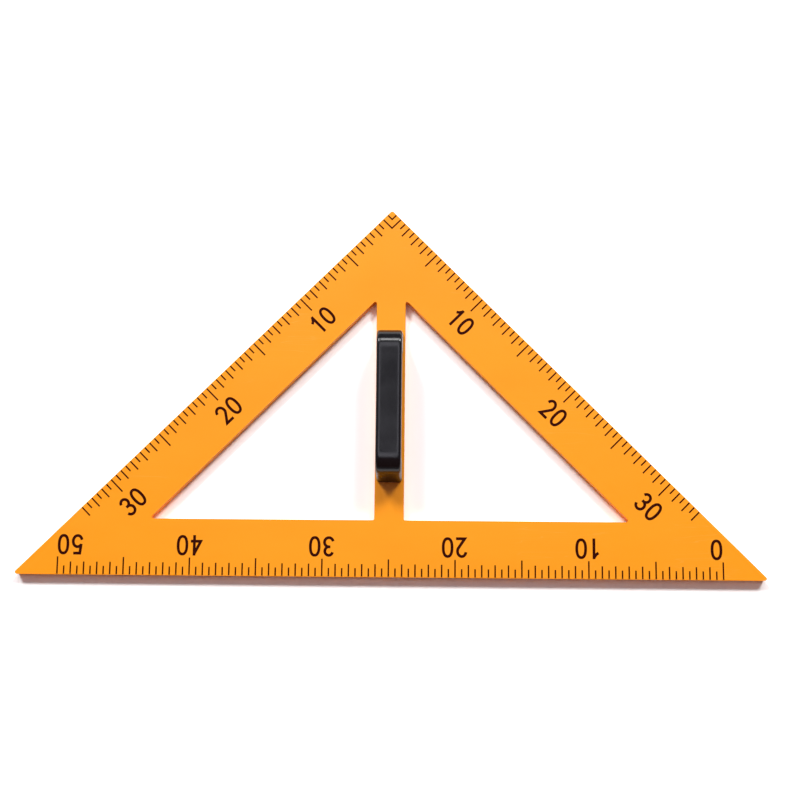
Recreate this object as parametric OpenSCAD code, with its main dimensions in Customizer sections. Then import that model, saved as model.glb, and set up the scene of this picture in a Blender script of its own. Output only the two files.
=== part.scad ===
// Large classroom set square, 45-45-90 degrees, with a bow handle and printed centimetre scales.
// Frame: the square lies on its back. +Z is up through the printed face, +X runs along the long
// edge and +Y points to the right-angled corner. The origin is under the middle of the outline.

/* [Plate] */
// Length of the long edge, measured to its two sharp corners
long_edge = 568.4; // [560:0.2:580]
// Thickness of the plate
plate_t = 9; // [8:0.5:12]
// Width of the bar along the long edge
base_bar_w = 42.6; // [40:0.2:46]
// Width of the two bars along the short edges
leg_bar_w = 42.5; // [40:0.25:44]
// Width of the bar that carries the handle
centre_bar_w = 22.2; // [21:0.2:26]
// Rounding of the three outer corners, seen from above
corner_r = 1.5; // [1:0.1:4]
// Rounding of the corners of the two windows
window_r = 1.2; // [0.6:0.2:3]

/* [Moulded back] */
// Thickness of the top skin
skin_t = 2.6; // [2:0.2:4]
// Thickness of the wall round every edge
rim_t = 2.6; // [2:0.2:4]
// Thickness of the stiffening ribs
rib_t = 1.6; // [1.2:0.2:2.4]
// How far the ribs stop short of the plane that the plate rests on
rib_recess = 0.5; // [0:0.1:1]

/* [Handle] */
// Distance from the long edge to the middle of the handle
handle_y = 129.5; // [120:0.5:140]
// Length of the flat top of the grip
grip_len = 86.4; // [82:0.2:90]
// Height above the plate
handle_h = 36; // [32:1:42]
// Width of the handle
handle_w = 19; // [17:0.5:20]
// Depth of the grip, from its top to the finger gap
grip_t = 12; // [11:0.5:13]
// Length of the finger gap between the legs
gap_len = 82; // [78:1:84]
// Outer radius of the two shoulders
shoulder_r = 11; // [10:0.5:12]
// Lean of the legs' outer faces from upright, in degrees
leg_lean = 9; // [7:1:11]
// Inner radius where the legs meet the grip
inner_r = 7; // [5:0.5:9]
// Wall thickness of the hollow moulding
wall_t = 2.6; // [2.2:0.2:3]
// Rounding along the two long top edges
edge_r = 2.6; // [1.5:0.1:3]

/* [Screws] */
// Diameter of the screw shank
shank_d = 3.4; // [3:0.1:3.8]
// Diameter of the screw head
head_d = 7; // [6.4:0.2:7.4]
// Height of the screw head
head_h = 2.4; // [2:0.1:2.6]
// Screw length under the head
screw_len = 16; // [14:1:18]

/* [Scales] */
// Length of the scale on the long edge
base_scale = 500; // [500:10:500]
// Length of the scales on the short edges
leg_scale = 330; // [300:10:330]
// Width of a printed tick
tick_w = 1.1; // [0.6:0.1:1.4]
// Height of a printed numeral
digit_h = 15.4; // [14:0.2:16]
// Width of a printed zero
digit_w = 8.7; // [8:0.1:9.4]
// Thickness of a printed stroke
stroke_w = 2.1; // [1.6:0.1:2.4]
// Thickness of the ink
ink_t = 0.08; // [0.05:0.01:0.12]

/* [Hidden] */
orange = [0.98, 0.55, 0.12];
black = [0.14, 0.14, 0.15];
ink = [0.20, 0.07, 0.07];
steel = [0.75, 0.75, 0.77];
eps = 0.01;
through = 1;                       // how far a cutter runs past the face that it opens

// Outline: the two sharp corners lie on the long edge, and the right angle is opposite.
half_edge = long_edge / 2;
apex_cut = corner_r * (sqrt(2) - 1);             // what the rounding takes off the right angle
mid_y = (half_edge - apex_cut) / 2;              // middle of the outline above the long edge
skin_z = plate_t - skin_t;
rib_pitch = leg_bar_w / 2;

// Screws: the head sits in a counterbore in the plate and bites into the handle's leg.
shoulder_s = grip_len / 2 + shoulder_r * cos(leg_lean);      // where a shoulder ends
shoulder_z = handle_h - shoulder_r * (1 - sin(leg_lean));
foot_len = 2 * (shoulder_s + shoulder_z * tan(leg_lean));
leg_t = (foot_len - gap_len) / 2;                // at the foot
screw_span = gap_len + leg_t;
boss_d = 13;
ejector_d = 5;                                   // raised marks left by the mould's pins
ejector_h = 0.3;
counterbore_d = 8.4;
seat_z = 5;                                      // height of the face under the screw head
clearance_d = 4;
pilot_d = shank_d + 0.04;
handle_boss_d = 7.4;
grip_web_t = 1.8;

// Scales
tick_step = 5;                                   // one tick each half centimetre
edge_gap = 0.35;                                 // the print stops just short of the edge
base_ticks_len = [13.4, 9.7, 6.6];               // five centimetres, one centimetre, half
leg_ticks_len = [13.2, 9.2, 6.0];
base_top = 14.9;                                 // edge to the top of the numerals
leg_top = 16.8;
digit_pitch = 10.6;                              // from one digit to the next
corner_steps = 6;
arc_steps = 14;

// ---- Outlines ----

function unit(v) = v / norm(v);

// The round that replaces corner v between its neighbours p and n
function corner_arc(p, v, n, r) =
    let (a = unit(p - v), b = unit(n - v), half = acos(a * b) / 2,
         c = v + unit(a + b) * r / sin(half),
         from = v + a * r / tan(half) - c, to = v + b * r / tan(half) - c,
         start = atan2(from[1], from[0]),
         turn = atan2(from[0] * to[1] - from[1] * to[0], from * to))
    [for (i = [0:corner_steps]) let (t = start + turn * i / corner_steps) c + r * [cos(t), sin(t)]];

function rounded(pts, r) =
    let (n = len(pts))
    [for (i = [0:n - 1]) each corner_arc(pts[(i + n - 1) % n], pts[i], pts[(i + 1) % n], r)];

// The outer triangle, moved in by d on every side
function outer_triangle(d) =
    let (x = half_edge - d * (1 + sqrt(2)))
    [[-x, d], [x, d], [0, half_edge - d * sqrt(2)]];

// The window to the right of the centre bar, moved out by d on every side
function window_triangle(d) =
    let (x = centre_bar_w / 2 - d, y = base_bar_w - d, top = half_edge - (leg_bar_w - d) * sqrt(2))
    [[x, y], [top - y, y], [x, top - x]];

module both_sides() {
    children();
    mirror([1, 0, 0]) children();
}

// Long edge on y = 0 for everything inside, and the row's origin for everything outside
module placed() {
    translate([0, -mid_y, 0]) children();
}

module at_screws() {
    for (end = [-1, 1]) translate([0, handle_y + end * screw_span / 2, 0]) children();
}

// ---- Plate ----

module plate_outline() {
    difference() {
        polygon(rounded(outer_triangle(0), corner_r));
        both_sides() polygon(rounded(window_triangle(0), window_r));
    }
}

// The area inside the walls, where the back is cored out
module cored_area() {
    difference() {
        polygon(outer_triangle(rim_t));
        both_sides() polygon(window_triangle(rim_t));
    }
}

// Ribs parallel to both short edges. In the leg bars they make one long rib with cross ribs.
module rib_grid() {
    count = ceil(half_edge * sqrt(2) / rib_pitch);
    both_sides() translate([0, half_edge]) rotate(-45)
        for (i = [1:count])
            translate([-half_edge, -i * rib_pitch - rib_t / 2]) square([2 * long_edge, rib_t]);
}

// Two rows of marks in each leg bar, and one in the base bar, each in the middle of a pocket
module ejector_marks() {
    both_sides() translate([0, half_edge]) rotate(-45)
        for (i = [2.5:4:18], row = [0.5, 1.5])
            translate([i * rib_pitch, -row * rib_pitch, 0]) cylinder(d = ejector_d, h = skin_z, $fn = 32);
    pocket = rib_pitch / sqrt(2);
    row_y = half_edge - 17 * pocket;
    for (i = [-3:3]) translate([4 * i * pocket, row_y, 0])
        cylinder(d = ejector_d, h = skin_z, $fn = 32);
}

module plate() color(orange) placed() {
    difference() {
        linear_extrude(plate_t) plate_outline();
        difference() {
            translate([0, 0, -through]) linear_extrude(skin_z + through) cored_area();
            translate([0, 0, rib_recess]) linear_extrude(skin_z) rib_grid();
            at_screws() cylinder(d = boss_d, h = skin_z, $fn = 64);
            translate([0, 0, skin_z - ejector_h]) ejector_marks();
        }
        at_screws() {
            translate([0, 0, -through]) cylinder(d = counterbore_d, h = seat_z + through, $fn = 48);
            translate([0, 0, -through]) cylinder(d = clearance_d, h = plate_t + 2 * through, $fn = 48);
        }
    }
}

// ---- Handle: drawn as a side view with x along the bar and y up from the plate ----

function half_profile_outer() = concat(
    [[foot_len / 2, 0]],
    [for (i = [0:arc_steps]) let (t = leg_lean + (90 - leg_lean) * i / arc_steps)
        [grip_len / 2 + shoulder_r * cos(t), handle_h - shoulder_r * (1 - sin(t))]]);

module mirrored_profile(half) {
    polygon(concat(half, [for (i = [len(half) - 1:-1:0]) [-half[i][0], half[i][1]]]));
}

module finger_gap() {
    half = gap_len / 2;
    top = handle_h - grip_t;
    mirrored_profile(concat([[half, -through]],
        [for (i = [0:arc_steps]) let (t = 90 * i / arc_steps)
            [half - inner_r * (1 - cos(t)), top - inner_r * (1 - sin(t))]]));
}

// Cross-section of the bow: square below, with rounded top edges
module bow_section() {
    half = handle_w / 2;
    polygon(concat([[-half, -through], [half, -through]],
        [for (side = [1, -1], i = [0:corner_steps])
            let (t = side > 0 ? 90 * i / corner_steps : 90 - 90 * i / corner_steps)
            [side * (half - edge_r * (1 - cos(t))), handle_h - edge_r * (1 - sin(t))]]));
}

// The hollow in one leg, seen from the side, with its outer face parallel to the leg's
module leg_core(end) {
    top = handle_h - grip_t;
    near = gap_len / 2 + wall_t;
    foot = foot_len / 2 - wall_t;
    rotate([90, 0, 90]) translate([0, 0, -handle_w / 2 + wall_t])
        linear_extrude(handle_w - 2 * wall_t)
            polygon([[end * near, -through], [end * foot, -through], [end * foot, 0],
                     [end * (foot - top * tan(leg_lean)), top], [end * near, top]]);
}

module handle() color(black) placed() translate([0, handle_y, plate_t]) {
    web_gap = gap_len / 3;
    difference() {
        intersection() {
            rotate([90, 0, 90]) translate([0, 0, -handle_w]) linear_extrude(2 * handle_w)
                difference() {
                    mirrored_profile(half_profile_outer());
                    finger_gap();
                }
            rotate([90, 0, 0]) translate([0, 0, -foot_len]) linear_extrude(2 * foot_len)
                bow_section();
        }
        // the grip is cored from the finger side, between two thin webs
        for (i = [-1:1]) translate([0, i * web_gap, handle_h - grip_t - inner_r])
            translate([-handle_w / 2 + wall_t, -(web_gap - grip_web_t) / 2, 0])
                cube([handle_w - 2 * wall_t, web_gap - grip_web_t, grip_t + inner_r - wall_t]);
        // each leg is cored from its foot, round the boss that takes the screw
        for (end = [-1, 1]) difference() {
            leg_core(end);
            translate([0, end * screw_span / 2, 0])
                cylinder(d = handle_boss_d, h = handle_h, $fn = 48);
        }
        for (end = [-1, 1]) translate([0, end * screw_span / 2, -through])
            cylinder(d = pilot_d, h = screw_len - (plate_t - seat_z) + 1.5 + through, $fn = 48);
    }
}

// ---- Screws: pan head down in the counterbore, point up in the handle ----

module screw() {
    tip_h = 2;
    slot_t = 1;
    slot_l = 4;
    slot_depth = 1.4;
    difference() {
        rotate_extrude($fn = 48) polygon([
            [0, -head_h], [head_d * 0.36, -head_h], [head_d * 0.46, -head_h * 0.72],
            [head_d / 2, -head_h * 0.3], [head_d / 2, 0], [shank_d / 2, 0],
            [shank_d / 2, screw_len - tip_h], [0.4, screw_len], [0, screw_len]]);
        for (a = [0, 90]) rotate(a) translate([-slot_l / 2, -slot_t / 2, -head_h - through])
            cube([slot_l, slot_t, slot_depth + through]);
    }
}

module handle_screw(end) color(steel) placed()
    translate([0, handle_y + end * screw_span / 2, seat_z]) screw();

// ---- Printed scales ----

// A line of constant width along a path, as a polygon
function side_of(path, d) = [for (i = [0:len(path) - 1])
    let (last = len(path) - 1,
         a = unit(i == 0 ? path[1] - path[0] : path[i] - path[i - 1]),
         b = unit(i == last ? path[last] - path[last - 1] : path[i + 1] - path[i]),
         m = unit(a + b), reach = d / (m * a))
    path[i] + reach * [-m[1], m[0]]];

function reversed(list) = [for (i = [len(list) - 1:-1:0]) list[i]];

module stroke(path) {
    polygon(concat(side_of(path, stroke_w / 2), reversed(side_of(path, -stroke_w / 2))));
}

// Points of an elliptical arc about c
function bow(c, rx, ry, from, to) =
    [for (i = [0:arc_steps]) let (t = from + (to - from) * i / arc_steps)
        c + [rx * cos(t), ry * sin(t)]];

// Every digit is drawn on centre lines: x from -cx to cx, y from 0 to cy
cx = (digit_w - stroke_w) / 2;
cy = digit_h - stroke_w;

function squarish(v) = sign(v) * pow(abs(v), 0.86);

module oval(rx, ry) {
    steps = 40;
    polygon([for (i = [0:steps - 1]) let (t = 360 * i / steps)
        [rx * squarish(cos(t)), cy / 2 + ry * squarish(sin(t))]]);
}

module digit_0() difference() {
    oval(cx + stroke_w / 2, digit_h / 2);
    oval(cx - stroke_w / 2, digit_h / 2 - stroke_w);
}

module digit_1() {
    stroke([[1.05, -stroke_w / 2], [1.05, cy + stroke_w / 2]]);
    stroke([[-2.3, cy * 0.73], [-0.5, cy * 0.83], [1, cy]]);
}

module digit_2() {
    bend = bow([0, cy * 0.70], cx * 0.97, cy * 0.30, 170, -28);
    stroke(concat(bend, [[stroke_w - digit_w / 2, 0], [digit_w / 2, 0]]));
}

module digit_3() {
    waist = cy * 0.52;
    upper = bow([0, (cy + waist) / 2], cx * 0.9, (cy - waist) / 2, 165, -90);
    stroke(concat(upper, [[-1.2, waist]]));
    stroke(bow([0, waist / 2], cx, waist / 2, 95, -168));
}

module digit_4() {
    rung = cy * 0.27;
    stem = cx * 0.5;
    stroke([[stem, -stroke_w / 2], [stem, cy + stroke_w / 2]]);
    stroke([[stem, cy - 0.2], [-cx + 0.1, rung], [cx + stroke_w / 2, rung]]);
}

module digit_5() {
    stroke([[cx * 0.9, cy], [-cx * 0.62, cy], [-cx * 0.86, cy * 0.47]]);
    stroke(bow([-0.05, cy * 0.32], cx * 1.03, cy * 0.32, 142, -166));
}

module digit(n) {
    if (n == 0) digit_0();
    if (n == 1) digit_1();
    if (n == 2) digit_2();
    if (n == 3) digit_3();
    if (n == 4) digit_4();
    if (n == 5) digit_5();
}

// A numeral whose tops face the edge; x is its middle, top is its distance from the edge
module numeral(n, x, top) {
    translate([x, -top - digit_h + stroke_w / 2]) {
        if (n < 10) digit(n);
        if (n >= 10) {
            translate([-digit_pitch / 2, 0]) digit(floor(n / 10));
            translate([digit_pitch / 2, 0]) digit(n % 10);
        }
    }
}

function tick_length(i, lengths) = i % 10 == 0 ? lengths[0] : i % 2 == 0 ? lengths[1] : lengths[2];

module tick(x, length) {
    translate([x - tick_w / 2, -length]) square([tick_w, length - edge_gap]);
}

module inked() color(ink) translate([0, 0, plate_t]) linear_extrude(ink_t) children();

// Edge frames: x reads along the edge and y points out of the plate
module base_frame() placed() translate([base_scale / 2, 0, 0]) rotate(180) children();
module right_frame() placed() translate([0, half_edge, 0]) rotate(-45) children();
module left_frame() placed() translate([0, half_edge, 0]) rotate(45) children();

module base_ticks() base_frame() inked()
    for (i = [0:base_scale / tick_step]) tick(i * tick_step, tick_length(i, base_ticks_len));

// The first and last numerals stand inside their ticks, and the others are centred on them.
module base_numerals() base_frame() inked() {
    numeral(0, digit_w / 2 + 0.4, base_top);
    for (n = [10:10:base_scale / 10 - 10]) numeral(n, n * 10 + 0.3, base_top);
    numeral(base_scale / 10, base_scale - digit_pitch / 2 - digit_w / 2 + 0.3, base_top);
}

// The first two ticks run to the middle of the right angle, where they meet the other scale's.
module leg_ticks(way) inked()
    for (i = [1:leg_scale / tick_step])
        tick(way * i * tick_step,
             i <= 2 ? i * tick_step + tick_w / 2 : tick_length(i, leg_ticks_len));

module leg_numerals(way) inked()
    for (n = [10:10:leg_scale / 10]) numeral(n, way * n * 10 + 0.4, leg_top);

plate();
handle();
handle_screw(-1);  // lower_screw
handle_screw(1);  // upper_screw
base_ticks();
base_numerals();
left_frame() leg_ticks(-1);  // left_ticks
left_frame() leg_numerals(-1);  // left_numerals
right_frame() leg_ticks(1);  // right_ticks
right_frame() leg_numerals(1);  // right_numerals
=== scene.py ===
"""Looks of a large classroom set square: orange plate, black bow handle and printed scales.

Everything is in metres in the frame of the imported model: the square lies on its back, +X runs
along the long edge, +Y points to the right-angled corner and +Z is up.
"""
import math

import bmesh
import bpy
from mathutils import Matrix, Vector


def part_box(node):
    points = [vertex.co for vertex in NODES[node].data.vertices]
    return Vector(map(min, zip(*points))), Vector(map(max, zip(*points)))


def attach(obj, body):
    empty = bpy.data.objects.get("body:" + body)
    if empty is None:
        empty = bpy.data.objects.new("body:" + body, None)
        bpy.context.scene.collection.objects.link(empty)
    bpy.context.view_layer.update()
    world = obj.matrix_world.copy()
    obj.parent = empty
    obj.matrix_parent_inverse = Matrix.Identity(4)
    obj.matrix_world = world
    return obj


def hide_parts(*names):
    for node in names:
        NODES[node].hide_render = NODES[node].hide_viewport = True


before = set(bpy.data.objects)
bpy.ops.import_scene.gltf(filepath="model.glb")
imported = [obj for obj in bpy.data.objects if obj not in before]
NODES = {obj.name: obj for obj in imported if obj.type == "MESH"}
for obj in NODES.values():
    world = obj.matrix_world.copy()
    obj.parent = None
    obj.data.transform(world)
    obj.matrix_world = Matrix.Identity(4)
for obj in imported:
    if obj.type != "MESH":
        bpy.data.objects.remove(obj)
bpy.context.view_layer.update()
MM = 0.001

# ---- places worked out from the frame ----
PLATE_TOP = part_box("plate")[1].z
HANDLE_LOW, HANDLE_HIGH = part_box("handle")
HANDLE_MIDDLE = (HANDLE_LOW + HANDLE_HIGH) / 2

# ---- camera: where it stands, measured from the middle of the outline ----
CAMERA_PLACE = Vector((0.0325, -0.1642, PLATE_TOP + 1.0155))
CAMERA_TARGET = Vector((0.0075, -0.0073, PLATE_TOP))
CAMERA_ROLL = math.radians(0.568)
CAMERA_LENS_MM = 60.5
CAMERA_SENSOR_MM = 36.0

# ---- light: two soft boxes behind the square, a weaker one between them, and a dim sky ----
LAMP_AZIMUTH = math.radians(32)  # to the left and to the right of straight behind
LAMP_HEIGHT = math.radians(46)
LAMP_DISTANCE = 5.0
LAMP_SIZE = 1.15
LAMP_POWER = 174.0
BACK_HEIGHT = math.radians(49)   # the weaker one, straight behind
BACK_SIZE = 1.1
BACK_POWER = 45.0
SKY_FRONT = 0.14                 # strength high up in front, warm
SKY_BACK = 0.10                  # and behind, neutral
SKY_TURN = (-0.2, 0.5)           # y of the direction where front gives way to back
SKY_HORIZON = 0.26               # strength of a pale neutral band all round
HORIZON_BAND = (0.05, 0.45)      # z of the direction over which that band fades out
WARM_END = (-0.25, 0.0)          # y of the direction over which the warm colour fades out
SKY_FRONT_COLOR = (1.0, 0.34, 0.25, 1.0)
SKY_BACK_COLOR = (0.90, 0.89, 1.0, 1.0)
RING_STRENGTH = 2.7              # a ring light overhead, a little behind the zenith
RING_MIDDLE = (-0.03, 0.16)      # x and y of the direction to its middle
RING_INSIDE = (0.08, 0.12)       # where it fades in and out, as distances from that middle
RING_OUTSIDE = (0.19, 0.23)
RING_LOWEST = (0.3, 0.6)         # z of the direction that keeps it out of the sky's lower half
FLOOR_WHITE = 1.14               # a lit stage that washes out the shadows' soft outer parts
FLOOR_SHADE = 0.99               # the darker parts of its faint mottling
FLOOR_HALF = 3.0

# ---- colours, in linear light ----
ORANGE = (0.82, 0.272, 0.0030, 1.0)
ORANGE_PALE = (0.85, 0.286, 0.0040, 1.0)
ORANGE_RUBBED = (0.95, 0.52, 0.16, 1.0)
BLACK = (0.0045, 0.0042, 0.0052, 1.0)
BLACK_DUSTY = (0.0075, 0.0070, 0.0080, 1.0)
INK = (0.0260, 0.0020, 0.0008, 1.0)
INK_THIN = (0.080, 0.011, 0.001, 1.0)
ZINC = (0.66, 0.67, 0.70, 1.0)
ZINC_BLOOM = (0.50, 0.51, 0.52, 1.0)

# ---- handle: its side view is drawn from its middle, with s along the bar and z up ----
HANDLE_W = HANDLE_HIGH.x - HANDLE_LOW.x
HANDLE_H = HANDLE_HIGH.z - PLATE_TOP
FOOT_HALF = (HANDLE_HIGH.y - HANDLE_LOW.y) / 2
GRIP_T = 12 * MM
GAP_HALF = 41 * MM
CROWN_START = 38.5 * MM        # the grip's top starts to fall away here, and sideways too
CROWN_END = 43.15 * MM
CROWN_TILT = math.radians(5)
SIDE_CROWN_R = 18 * MM
SIDE_CROWN_TILT = math.radians(6)
LEG_LEAN = math.radians(9)
INNER_R = 7 * MM
WALL_T = 2.6 * MM
WEB_T = 1.8 * MM
OUTER_EDGE_R = 2.0 * MM        # rounding along the outside of the bow
INNER_EDGE_R = 0.9 * MM        # rounding along the finger gap
STRAIGHT_INSET = 1.5 * MM      # the pockets start this far in from the finger gap's round corners
POCKETS = 3
LEG_STEPS = 8
ARC_STEPS = 24
EDGE_STEPS = 6
CROWN_STEPS = 4
POCKET_STEPS = 6

# ---- small bevels that catch the light ----
PLATE_BEVEL = 0.4 * MM
HANDLE_BEVEL = 0.35 * MM
BEVEL_STEPS = 2
PLATE_SHARP = math.radians(30)   # edges sharper than this are rounded
HANDLE_SHARP = math.radians(50)
WELD_GAP = 0.005 * MM            # joins the CAD mesh's faces along their shared edges


def add_camera():
    data = bpy.data.cameras.new("camera")
    data.lens = CAMERA_LENS_MM
    data.sensor_width = CAMERA_SENSOR_MM
    data.clip_start = 0.01
    data.clip_end = 50.0
    camera = bpy.data.objects.new("camera", data)
    bpy.context.scene.collection.objects.link(camera)
    forward = (CAMERA_TARGET - CAMERA_PLACE).normalized()
    right = forward.cross(Vector((0, 1, 0))).normalized()
    up = right.cross(forward)
    turned_right = right * math.cos(CAMERA_ROLL) + up * math.sin(CAMERA_ROLL)
    turned_up = up * math.cos(CAMERA_ROLL) - right * math.sin(CAMERA_ROLL)
    axes = Matrix((turned_right, turned_up, -forward)).transposed()
    camera.matrix_world = Matrix.Translation(CAMERA_PLACE) @ axes.to_4x4()
    bpy.context.scene.camera = camera


def add_lamp(name, azimuth, height, size, power):
    data = bpy.data.lights.new(name, "AREA")
    data.shape = "SQUARE"
    data.size = size
    data.energy = power
    lamp = bpy.data.objects.new(name, data)
    bpy.context.scene.collection.objects.link(lamp)
    flat = math.cos(height)
    way = Vector((math.sin(azimuth) * flat, math.cos(azimuth) * flat, math.sin(height)))
    lamp.location = way * LAMP_DISTANCE
    lamp.rotation_mode = "QUATERNION"
    lamp.rotation_quaternion = way.to_track_quat("Z", "Y")


# ---- node helpers ----

class Graph:
    """Short calls for the nodes that the materials and the sky are made of."""

    def __init__(self, tree):
        self.tree = tree

    def add(self, kind, inputs=(), **settings):
        node = self.tree.nodes.new(kind)
        for key, value in settings.items():
            setattr(node, key, value)
        for key, value in dict(inputs).items():
            self.feed(node.inputs[key], value)
        return node

    def feed(self, socket, value):
        if isinstance(value, bpy.types.NodeSocket):
            self.tree.links.new(value, socket)
        else:
            socket.default_value = value

    def math(self, operation, first, second=0.0):
        node = self.add("ShaderNodeMath", operation=operation)
        self.feed(node.inputs[0], first)
        self.feed(node.inputs[1], second)
        return node.outputs[0]

    def ramp(self, value, low, high, to_low=0.0, to_high=1.0):
        """to_low where value is at low or less, to_high where it is at high or more"""
        node = self.add("ShaderNodeMapRange", clamp=True, interpolation_type="SMOOTHSTEP")
        for key, number in (("Value", value), ("From Min", low), ("From Max", high),
                            ("To Min", to_low), ("To Max", to_high)):
            self.feed(node.inputs[key], number)
        return node.outputs["Result"]

    def place(self, scale=(1.0, 1.0, 1.0), turn=0.0):
        """Object coordinates in metres, turned about Z and stretched"""
        coordinate = self.add("ShaderNodeTexCoord").outputs["Object"]
        return self.add("ShaderNodeMapping", {"Vector": coordinate, "Scale": scale,
                                              "Rotation": (0.0, 0.0, turn)}).outputs[0]

    def noise(self, where, scale, detail=2.0, roughness=0.5):
        return self.add("ShaderNodeTexNoise", {"Vector": where, "Scale": scale, "Detail": detail,
                                               "Roughness": roughness}).outputs["Fac"]

    def mix(self, amount, first, second):
        """A blend of two colours; sockets 6, 7 and 2 are the node's A, B and Result for colours"""
        node = self.add("ShaderNodeMix", data_type="RGBA")
        self.feed(node.inputs["Factor"], amount)
        self.feed(node.inputs[6], first)
        self.feed(node.inputs[7], second)
        return node.outputs[2]

    def bump(self, height, distance, strength=1.0, base=None):
        node = self.add("ShaderNodeBump", {"Height": height, "Distance": distance,
                                           "Strength": strength})
        if base is not None:
            self.feed(node.inputs["Normal"], base)
        return node.outputs[0]

    def scratches(self, turn, wander, stretch, low, high):
        """Thin lines along one direction: the crests of a noise that is drawn out along it"""
        along = self.place((stretch, 1.0, 1.0), turn)
        fine = self.noise(along, wander, 1.0, 0.4)
        ridge = self.math("ABSOLUTE", self.math("SUBTRACT", fine, 0.5))
        patches = self.ramp(self.noise(self.place(), 11.0, 1.0), 0.52, 0.66)
        return self.math("MULTIPLY", self.ramp(ridge, low, high, 1.0, 0.0), patches)


def add_sky():
    world = bpy.data.worlds.new("sky")
    world.use_nodes = True
    graph = Graph(world.node_tree)
    background = world.node_tree.nodes["Background"]
    way = graph.add("ShaderNodeTexCoord").outputs["Generated"]
    parts = graph.add("ShaderNodeSeparateXYZ", {"Vector": way})
    x, y, z = (parts.outputs[axis] for axis in "XYZ")
    overhead = graph.ramp(y, *SKY_TURN, SKY_FRONT, SKY_BACK)
    high = graph.ramp(z, *HORIZON_BAND)
    dome = graph.math("ADD", graph.math("MULTIPLY", overhead, high),
                      graph.ramp(z, *HORIZON_BAND, SKY_HORIZON, 0.0))
    off_x = graph.math("SUBTRACT", x, RING_MIDDLE[0])
    off_y = graph.math("SUBTRACT", y, RING_MIDDLE[1])
    off = graph.math("SQRT", graph.math("ADD", graph.math("MULTIPLY", off_x, off_x),
                                        graph.math("MULTIPLY", off_y, off_y)))
    ring = graph.math("MULTIPLY", graph.ramp(off, *RING_INSIDE),
                      graph.ramp(off, *RING_OUTSIDE, 1.0, 0.0))
    panel = graph.math("MULTIPLY", ring, graph.ramp(z, *RING_LOWEST, 0.0, RING_STRENGTH))
    graph.feed(background.inputs["Strength"], graph.math("ADD", dome, panel))
    warm = graph.math("MULTIPLY", graph.ramp(y, *WARM_END, 1.0, 0.0), high)
    graph.feed(background.inputs["Color"], graph.mix(warm, SKY_BACK_COLOR, SKY_FRONT_COLOR))
    bpy.context.scene.world = world
    bpy.context.scene.view_settings.view_transform = "Standard"


def new_material(name):
    material = bpy.data.materials.new(name)
    material.use_nodes = True
    return material, Graph(material.node_tree), material.node_tree.nodes["Principled BSDF"]


# ---- materials ----

def orange_plastic():
    """Injection-moulded plastic: faint flow marks, a fine orange peel and a few rubbed lines"""
    material, graph, shader = new_material("orange_plastic")
    where = graph.place()
    flow = graph.noise(graph.place((1.0, 3.0, 3.0), math.radians(12)), 9.0, 3.0)
    color = graph.mix(graph.ramp(flow, 0.3, 0.7), ORANGE, ORANGE_PALE)
    worn = graph.math("ADD", graph.scratches(math.radians(8), 160.0, 0.05, 0.002, 0.006),
                      graph.scratches(math.radians(-52), 210.0, 0.04, 0.002, 0.005))
    worn = graph.math("MINIMUM", worn, 1.0)
    graph.feed(shader.inputs["Base Color"],
               graph.mix(graph.math("MULTIPLY", worn, 0.10), color, ORANGE_RUBBED))
    handled = graph.ramp(graph.noise(where, 26.0, 4.0), 0.35, 0.7, 0.36, 0.46)
    graph.feed(shader.inputs["Roughness"],
               graph.math("ADD", handled, graph.math("MULTIPLY", worn, 0.12)))
    peel = graph.noise(where, 900.0, 2.0, 0.6)
    wave = graph.noise(where, 60.0, 2.0)
    normal = graph.bump(wave, 0.00006, 0.5)
    normal = graph.bump(peel, 0.000012, 0.6, normal)
    normal = graph.bump(graph.math("MULTIPLY", worn, -1.0), 0.00001, 0.5, normal)
    graph.feed(shader.inputs["Normal"], normal)
    shader.inputs["Specular IOR Level"].default_value = 0.22
    return material


def black_plastic():
    """Fine-grained black plastic, smoother where the palm and fingers have polished it"""
    material, graph, shader = new_material("black_plastic")
    where = graph.place()
    dust = graph.ramp(graph.noise(where, 140.0, 4.0, 0.6), 0.55, 0.8)
    graph.feed(shader.inputs["Base Color"], graph.mix(dust, BLACK, BLACK_DUSTY))
    facing = graph.add("ShaderNodeTexCoord").outputs["Normal"]
    upward = graph.add("ShaderNodeSeparateXYZ", {"Vector": facing}).outputs["Z"]
    matt = graph.ramp(upward, 0.05, 0.6, 0.12, 0.0)   # the sides are rubbed less than the top
    polish = graph.ramp(graph.noise(where, 45.0, 3.0), 0.35, 0.65, 0.16, 0.20)
    graph.feed(shader.inputs["Roughness"], graph.math("ADD", polish, matt))
    grain = graph.add("ShaderNodeTexVoronoi", {"Vector": where, "Scale": 2600.0},
                      feature="SMOOTH_F1").outputs["Distance"]
    normal = graph.bump(graph.noise(where, 120.0, 2.0), 0.00004, 0.5)
    normal = graph.bump(grain, 0.00002, 0.35, normal)
    graph.feed(shader.inputs["Normal"], normal)
    shader.inputs["Specular IOR Level"].default_value = 0.42
    return material


def printing_ink():
    """Screen-printed ink: a little thinner in places, so that the orange shows through"""
    material, graph, shader = new_material("printing_ink")
    where = graph.place()
    thin = graph.ramp(graph.noise(where, 700.0, 3.0, 0.7), 0.55, 0.8)
    graph.feed(shader.inputs["Base Color"], graph.mix(thin, INK, INK_THIN))
    graph.feed(shader.inputs["Roughness"],
               graph.ramp(graph.noise(where, 300.0, 2.0), 0.3, 0.7, 0.42, 0.58))
    graph.feed(shader.inputs["Normal"], graph.bump(graph.noise(where, 1500.0, 2.0), 0.00001, 0.5))
    shader.inputs["Specular IOR Level"].default_value = 0.03
    return material


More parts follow.
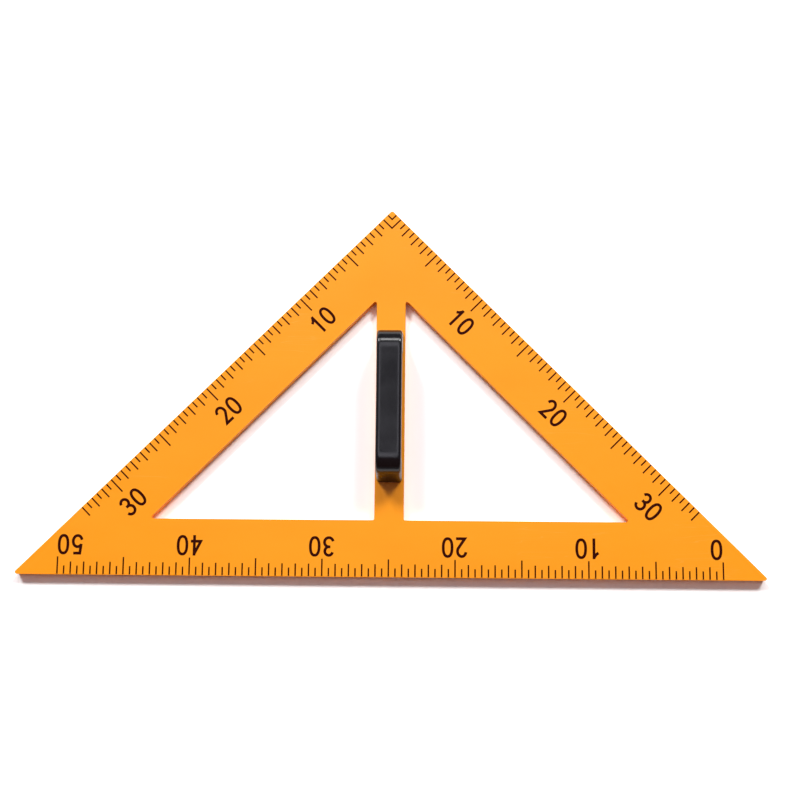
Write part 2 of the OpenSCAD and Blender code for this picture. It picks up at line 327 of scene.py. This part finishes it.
def zinc_steel():
    """Zinc-plated steel, turned and then plated, with a slightly cloudy bloom"""
    material, graph, shader = new_material("zinc_steel")
    where = graph.place()
    bloom = graph.ramp(graph.noise(where, 420.0, 4.0, 0.6), 0.35, 0.7)
    graph.feed(shader.inputs["Base Color"], graph.mix(bloom, ZINC, ZINC_BLOOM))
    graph.feed(shader.inputs["Roughness"], graph.ramp(bloom, 0.0, 1.0, 0.24, 0.42))
    graph.feed(shader.inputs["Normal"], graph.bump(graph.noise(where, 3000.0, 2.0), 0.00001, 0.5))
    shader.inputs["Metallic"].default_value = 1.0
    return material


def floor_paper():
    """White paper with a faint, slightly cool mottling"""
    material, graph, shader = new_material("floor")
    fibre = graph.ramp(graph.noise(graph.place(), 40.0, 3.0), 0.3, 0.7)
    white = (FLOOR_WHITE, FLOOR_WHITE, FLOOR_WHITE, 1.0)
    shade = (FLOOR_WHITE * FLOOR_SHADE, FLOOR_WHITE * FLOOR_SHADE,
             FLOOR_WHITE * (1 + FLOOR_SHADE) / 2, 1.0)
    graph.feed(shader.inputs["Base Color"], graph.mix(fibre, shade, white))
    shader.inputs["Roughness"].default_value = 1.0
    shader.inputs["Specular IOR Level"].default_value = 0.0
    return material


def add_floor():
    mesh = bpy.data.meshes.new("floor")
    corners = [(x * FLOOR_HALF, y * FLOOR_HALF, 0) for x, y in ((-1, -1), (1, -1), (1, 1), (-1, 1))]
    mesh.from_pydata(corners, [], [(0, 1, 2, 3)])
    floor = bpy.data.objects.new("floor", mesh)
    bpy.context.scene.collection.objects.link(floor)
    mesh.materials.append(floor_paper())


# ---- handle: a bow swept through matching stations on its outer and inner profiles ----

def bow_stations():
    """Pairs of points (outer, inner), each (s, z), from the far foot over the grip to the near one.

    Each pair is one section of the bow. The pockets under the grip come back as the numbers of
    their first and last stations.
    """
    crown_r = (CROWN_END - CROWN_START) / math.sin(CROWN_TILT)
    crown_z = HANDLE_H - crown_r * (1 - math.cos(CROWN_TILT))
    lean = math.tan(LEG_LEAN)
    # the shoulder's arc starts where the crown ends and meets the leaning face of the leg
    wide = math.cos(LEG_LEAN) - math.sin(CROWN_TILT)
    tall = math.cos(CROWN_TILT) - math.sin(LEG_LEAN)
    shoulder_r = (FOOT_HALF - CROWN_END - crown_z * lean) / (wide - tall * lean)
    centre_s = CROWN_END - shoulder_r * math.sin(CROWN_TILT)
    centre_z = crown_z - shoulder_r * math.cos(CROWN_TILT)
    shoulder_z = centre_z + shoulder_r * math.sin(LEG_LEAN)
    under = HANDLE_H - GRIP_T
    half = []
    for i in range(LEG_STEPS + 1):                    # the leg, from its foot up
        t = i / LEG_STEPS
        z_out, z_in = shoulder_z * t, (under - INNER_R) * t
        half.append(((FOOT_HALF - z_out * lean, z_out), (GAP_HALF, z_in)))
    for i in range(1, ARC_STEPS + 1):                 # the shoulder and the inner arc
        t = i / ARC_STEPS
        out = LEG_LEAN + (math.pi / 2 - CROWN_TILT - LEG_LEAN) * t
        inn = math.pi / 2 * t
        half.append(((centre_s + shoulder_r * math.cos(out), centre_z + shoulder_r * math.sin(out)),
                     (GAP_HALF - INNER_R + INNER_R * math.cos(inn),
                      under - INNER_R + INNER_R * math.sin(inn))))
    inner_end = half[-1][1][0]
    for i in range(1, CROWN_STEPS * 2 + 1):           # the crown at the end of the grip's top
        tilt = CROWN_TILT * (1 - i / (CROWN_STEPS * 2))
        half.append(((CROWN_START + crown_r * math.sin(tilt),
                      HANDLE_H - crown_r * (1 - math.cos(tilt))),
                     (inner_end - STRAIGHT_INSET * i / (CROWN_STEPS * 2), under)))
    stations = list(half)
    straight = inner_end - STRAIGHT_INSET
    pitch = (straight - WEB_T / 2) * 2 / POCKETS
    pockets = []
    for i in range(POCKETS):                          # the pockets under the straight of the grip
        middle = ((POCKETS - 1) / 2 - i) * pitch
        start = middle + (pitch - WEB_T) / 2
        first = len(stations)
        for k in range(POCKET_STEPS + 1):
            s = start - (pitch - WEB_T) * k / POCKET_STEPS
            out_s = s * CROWN_START / straight
            stations.append(((out_s, HANDLE_H), (s, under)))
        pockets.append((first, len(stations) - 1))
    stations += [((-o[0], o[1]), (-n[0], n[1])) for o, n in reversed(half)]
    return stations, pockets


def bow_ring():
    """One section as (x, side, setback): side 1 is the outer face and 0 the inner one.

    A point lies setback below its face, measured towards the other face. The outer face is
    slightly crowned towards its two rounded edges.
    """
    half = HANDLE_W / 2
    core = half - WALL_T
    sunk = SIDE_CROWN_R * (1 - math.cos(SIDE_CROWN_TILT))
    crown_x = half - OUTER_EDGE_R * (1 - math.sin(SIDE_CROWN_TILT))
    flat_x = crown_x - SIDE_CROWN_R * math.sin(SIDE_CROWN_TILT)
    outer = []
    for i in range(EDGE_STEPS * 2 + 1):
        t = math.pi / 2 + (SIDE_CROWN_TILT - math.pi / 2) * i / (EDGE_STEPS * 2)
        outer.append((half - OUTER_EDGE_R * (1 - math.sin(t)), 1,
                      sunk + OUTER_EDGE_R * (math.cos(SIDE_CROWN_TILT) - math.cos(t))))
    for i in range(1, CROWN_STEPS + 1):
        t = SIDE_CROWN_TILT * (1 - i / CROWN_STEPS)
        outer.append((flat_x + SIDE_CROWN_R * math.sin(t), 1, SIDE_CROWN_R * (1 - math.cos(t))))
    outer.append((flat_x / 2, 1, 0.0))
    inner = []
    for i in range(EDGE_STEPS + 1):
        t = math.pi / 2 * i / EDGE_STEPS
        inner.append((half - INNER_EDGE_R * (1 - math.cos(t)), 0,
                      INNER_EDGE_R * (1 - math.sin(t))))
    inner.append((core, 0, 0.0))
    mirrored = [[(-x, side, setback) for x, side, setback in part] for part in (outer, inner)]
    return (outer + [(0.0, 1, 0.0)] + list(reversed(mirrored[0]))
            + mirrored[1] + list(reversed(inner)))


def add_handle(material):
    stations, pockets = bow_stations()
    ring = bow_ring()
    count = len(ring)
    core = HANDLE_W / 2 - WALL_T
    left, right = (ring.index((x, 0, 0.0)) for x in (-core, core))   # the pockets' two sides
    build = bmesh.new()
    base = Vector((HANDLE_MIDDLE.x, HANDLE_MIDDLE.y, PLATE_TOP))
    rows = []
    for outer, inner in stations:
        outer, inner = Vector(outer), Vector(inner)
        down = (inner - outer).normalized()
        row = []
        for x, side, setback in ring:
            at = outer + down * setback if side else inner - down * setback
            row.append(build.verts.new(base + Vector((x, at.x, max(at.y, 0.0)))))
        rows.append(row)
    in_pocket = {k for first, last in pockets for k in range(first, last)}
    for k in range(len(rows) - 1):
        for i in range(count):
            j = (i + 1) % count
            if k in in_pocket and {i, j} == {left, right}:
                continue
            build.faces.new((rows[k][i], rows[k][j], rows[k + 1][j], rows[k + 1][i]))
    build.faces.new(list(reversed(rows[0])))
    build.faces.new(rows[-1])
    depth = GRIP_T - WALL_T
    for first, last in pockets:
        roof = {}
        for k in range(first, last + 1):
            for i in (left, right):
                roof[k, i] = build.verts.new(rows[k][i].co + Vector((0, 0, depth)))
        for k in range(first, last):
            for i in (left, right):
                build.faces.new((rows[k][i], rows[k + 1][i], roof[k + 1, i], roof[k, i]))
            build.faces.new((roof[k, left], roof[k, right], roof[k + 1, right], roof[k + 1, left]))
        for k in (first, last):
            build.faces.new((rows[k][left], rows[k][right], roof[k, right], roof[k, left]))
    bmesh.ops.recalc_face_normals(build, faces=build.faces)
    mesh = bpy.data.meshes.new("handle_grip")
    build.to_mesh(mesh)
    build.free()
    piece = bpy.data.objects.new("handle_grip", mesh)
    bpy.context.scene.collection.objects.link(piece)
    mesh.materials.append(material)
    add_bevel(piece, HANDLE_BEVEL, HANDLE_SHARP).harden_normals = True
    mesh.shade_smooth()
    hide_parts("handle")
    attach(piece, "root")


# ---- finishing ----

def add_bevel(piece, width, sharp):
    bevel = piece.modifiers.new("rounding", "BEVEL")
    bevel.width = width
    bevel.segments = BEVEL_STEPS
    bevel.limit_method = "ANGLE"
    bevel.angle_limit = sharp
    return bevel


def dress(node, material):
    materials = NODES[node].data.materials
    materials.clear()
    materials.append(material)


add_camera()
add_lamp("lamp_left", -LAMP_AZIMUTH, LAMP_HEIGHT, LAMP_SIZE, LAMP_POWER)
add_lamp("lamp_right", LAMP_AZIMUTH, LAMP_HEIGHT, LAMP_SIZE, LAMP_POWER)
add_lamp("lamp_back", 0.0, BACK_HEIGHT, BACK_SIZE, BACK_POWER)
add_sky()
add_floor()
ink = printing_ink()
steel = zinc_steel()
dress("plate", orange_plastic())
NODES["plate"].modifiers.new("weld", "WELD").merge_threshold = WELD_GAP
add_bevel(NODES["plate"], PLATE_BEVEL, PLATE_SHARP)
add_handle(black_plastic())
for name in NODES:
    if "ticks" in name or "numerals" in name:
        dress(name, ink)
    if "screw" in name:
        dress(name, steel)
